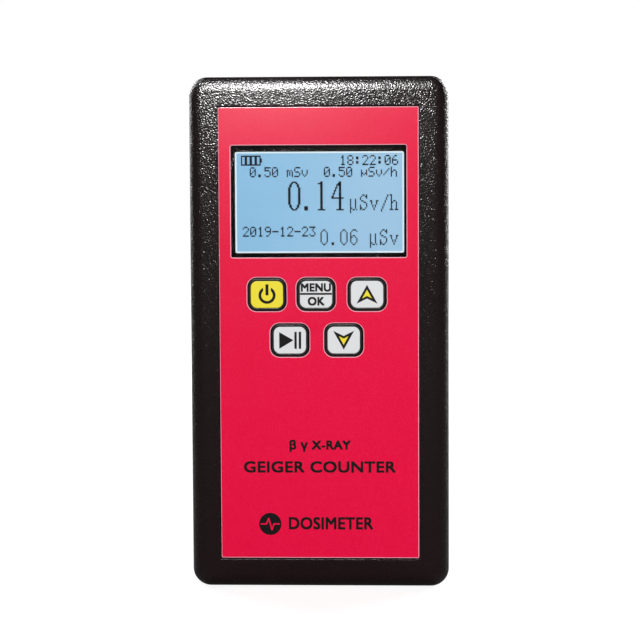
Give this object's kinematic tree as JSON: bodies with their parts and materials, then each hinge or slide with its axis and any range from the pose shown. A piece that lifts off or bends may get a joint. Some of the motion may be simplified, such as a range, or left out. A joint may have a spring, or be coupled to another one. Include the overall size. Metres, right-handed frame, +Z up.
{
  "type": "geiger counter",
  "caption": "Handheld radiation meter: rounded black two-shell case, crimson graphic overlay, dot-matrix display, sprung keys and a hinged battery door.",
  "frame": {"origin": "middle of the flat bottom end, on which the instrument stands", "axes": "+X to the right as the user reads the display, -Y out of the display side, +Z up towards the display end"},
  "size_m": [0.0706, 0.027, 0.14],
  "materials": {
    "case": "finely textured black ABS",
    "overlay": "crimson satin polycarbonate film",
    "clear_window": "clear polished acrylic",
    "display": "light-blue dot-matrix cell with dark blue dots",
    "backlight": "white light guide",
    "black_plastic": "black moulded plastic",
    "ribbon": "amber polyimide film",
    "board": "green solder mask over glass-fibre board",
    "copper": "enamelled copper winding on a ferrite core",
    "aluminium": "satin drawn can",
    "steel": "bright plated steel",
    "tube_glass": "smoky glass with a metallised inside",
    "tin": "tinned sheet",
    "brass": "sprung brass strip",
    "nickel": "nickel-plated spring steel",
    "black_wire": "black wire insulation",
    "red_wire": "red wire insulation",
    "key_body": "black moulded key",
    "key_yellow": "printed yellow face",
    "key_white": "printed light-grey face",
    "switch_metal": "stamped steel cover",
    "black_screw": "blackened steel screw",
    "cell_wrap": "printed shrink wrap over a steel can"
  },
  "bodies": {
    "case": {"front_shell": "case", "rear_shell": "case", "keypad_overlay": "overlay", "display_window": "clear_window", "lcd_glass": "display", "lcd_backlight": "backlight", "lcd_frame": "black_plastic", "lcd_ribbon": "ribbon", "main_board": "board", "buzzer": "black_plastic", "hv_transformer": "copper", "hv_capacitor": "aluminium", "microcontroller": "black_plastic", "crystal": "steel", "gm_tube": "tube_glass", "gm_tube_cathode_cap": "steel", "gm_tube_anode_cap": "steel", "tube_shield": "tin", "tube_clip_bottom": "brass", "tube_clip_top": "brass", "battery_contact_negative": "nickel", "battery_contact_link_top": "nickel", "battery_contact_link_bottom": "nickel", "battery_contact_positive": "nickel", "battery_lead_negative": "black_wire", "battery_lead_positive": "red_wire", "power_switch": "switch_metal", "menu_switch": "switch_metal", "up_switch": "switch_metal", "play_switch": "switch_metal", "down_switch": "switch_metal", "board_screw_1": "steel", "case_screw_1": "black_screw", "board_screw_2": "steel", "case_screw_2": "black_screw", "board_screw_3": "steel", "case_screw_3": "black_screw", "board_screw_4": "steel", "case_screw_4": "black_screw", "battery_cell_1": "cell_wrap", "battery_cell_2": "cell_wrap", "battery_cell_3": "cell_wrap"},
    "battery_door": {"battery_door": "case"},
    "power_button": {"power_key": "key_body", "power_key_face": "key_yellow", "power_switch_plunger": "black_plastic"},
    "menu_button": {"menu_key": "key_body", "menu_key_face": "key_white", "menu_switch_plunger": "black_plastic"},
    "up_button": {"up_key": "key_body", "up_key_face": "key_white", "up_switch_plunger": "black_plastic"},
    "play_button": {"play_key": "key_body", "play_key_face": "key_white", "play_switch_plunger": "black_plastic"},
    "down_button": {"down_key": "key_body", "down_key_face": "key_white", "down_switch_plunger": "black_plastic"}
  },
  "joints": [
    {"name": "battery_door_hinge", "type": "hinge", "parent": "case", "child": "battery_door", "pos_m": [0, 0.0135, 0.0082], "axis": [-1, 0, 0], "range_deg": [0, 70]},
    {"name": "power_button_press", "type": "slide", "parent": "case", "child": "power_button", "axis": [0, 1, 0], "range_m": [0, 0.0005], "stiffness_N_per_m": 800, "springref_m": -0.0015},
    {"name": "menu_button_press", "type": "slide", "parent": "case", "child": "menu_button", "axis": [0, 1, 0], "range_m": [0, 0.0005], "stiffness_N_per_m": 800, "springref_m": -0.0015},
    {"name": "up_button_press", "type": "slide", "parent": "case", "child": "up_button", "axis": [0, 1, 0], "range_m": [0, 0.0005], "stiffness_N_per_m": 800, "springref_m": -0.0015},
    {"name": "play_button_press", "type": "slide", "parent": "case", "child": "play_button", "axis": [0, 1, 0], "range_m": [0, 0.0005], "stiffness_N_per_m": 800, "springref_m": -0.0015},
    {"name": "down_button_press", "type": "slide", "parent": "case", "child": "down_button", "axis": [0, 1, 0], "range_m": [0, 0.0005], "stiffness_N_per_m": 800, "springref_m": -0.0015}
  ]
}
